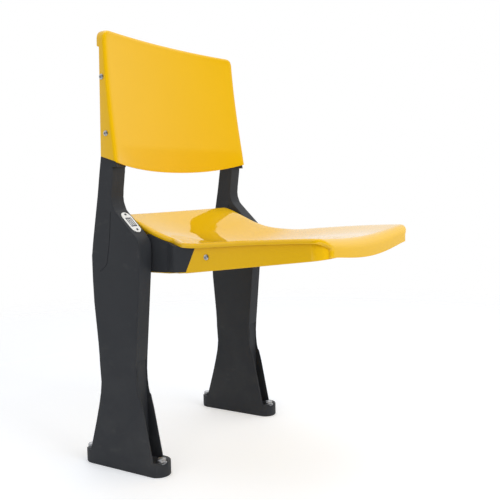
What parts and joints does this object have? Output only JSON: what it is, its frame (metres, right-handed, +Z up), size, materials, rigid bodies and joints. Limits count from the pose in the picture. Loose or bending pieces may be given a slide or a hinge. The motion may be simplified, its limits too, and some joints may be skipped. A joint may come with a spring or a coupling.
{
  "type": "stadium seat",
  "caption": "Floor-standing tip-up stadium seat: glossy moulded backrest and dished seat between two hollow moulded legs, with hidden pivots, return springs and stops.",
  "frame": {"origin": "on the floor, under the middle of the seat's bounding box", "axes": "+Z up, the sitter faces -Y, +X to the viewer's right from the front"},
  "size_m": [0.4428, 0.519, 0.812],
  "materials": {
    "yellow_moulding": "glossy injection moulded, faint waviness",
    "black_moulding": "fine moulded grain, satin",
    "zinc_steel": "zinc plated, dull",
    "spring_steel": "oiled drawn wire",
    "pale_nylon": "plain turned nylon",
    "stop_rubber": "matt",
    "plate_white": "satin",
    "plate_dark": "satin"
  },
  "bodies": {
    "frame": {"backrest_shell": "yellow_moulding", "leg_left": "black_moulding", "leg_right": "black_moulding", "pivot_bush_left": "pale_nylon", "return_spring_left": "spring_steel", "stop_peg_left": "zinc_steel", "stop_sleeve_left": "stop_rubber", "back_screw_upper_left": "zinc_steel", "back_screw_lower_left": "zinc_steel", "back_nut_upper_left": "zinc_steel", "back_nut_lower_left": "zinc_steel", "anchor_bolt_left_front": "zinc_steel", "anchor_washer_left_front": "zinc_steel", "anchor_bolt_left_rear": "zinc_steel", "anchor_washer_left_rear": "zinc_steel", "pivot_bush_right": "pale_nylon", "return_spring_right": "spring_steel", "stop_peg_right": "zinc_steel", "stop_sleeve_right": "stop_rubber", "back_screw_upper_right": "zinc_steel", "back_screw_lower_right": "zinc_steel", "back_nut_upper_right": "zinc_steel", "back_nut_lower_right": "zinc_steel", "anchor_bolt_right_front": "zinc_steel", "anchor_washer_right_front": "zinc_steel", "anchor_bolt_right_rear": "zinc_steel", "anchor_washer_right_rear": "zinc_steel", "id_plate": "plate_white", "id_rivet_upper": "plate_dark", "id_rivet_lower": "plate_dark"},
    "tip_seat": {"seat_top_shell": "yellow_moulding", "seat_under_shell": "yellow_moulding", "pivot_arm_left": "black_moulding", "pivot_pin_left": "zinc_steel", "retaining_ring_left": "zinc_steel", "spring_driver_left": "zinc_steel", "seat_screw_left": "zinc_steel", "seat_nut_left": "zinc_steel", "pivot_arm_right": "black_moulding", "pivot_pin_right": "zinc_steel", "retaining_ring_right": "zinc_steel", "spring_driver_right": "zinc_steel", "seat_screw_right": "zinc_steel", "seat_nut_right": "zinc_steel", "number_plate": "plate_dark", "plate_screw_left": "plate_white", "plate_screw_right": "plate_white"}
  },
  "joints": [
    {"name": "seat_tip", "type": "hinge", "parent": "frame", "child": "tip_seat", "pos_m": [0, 0.147, 0.408], "axis": [-1, 0, 0], "range_deg": [0, 81]}
  ]
}
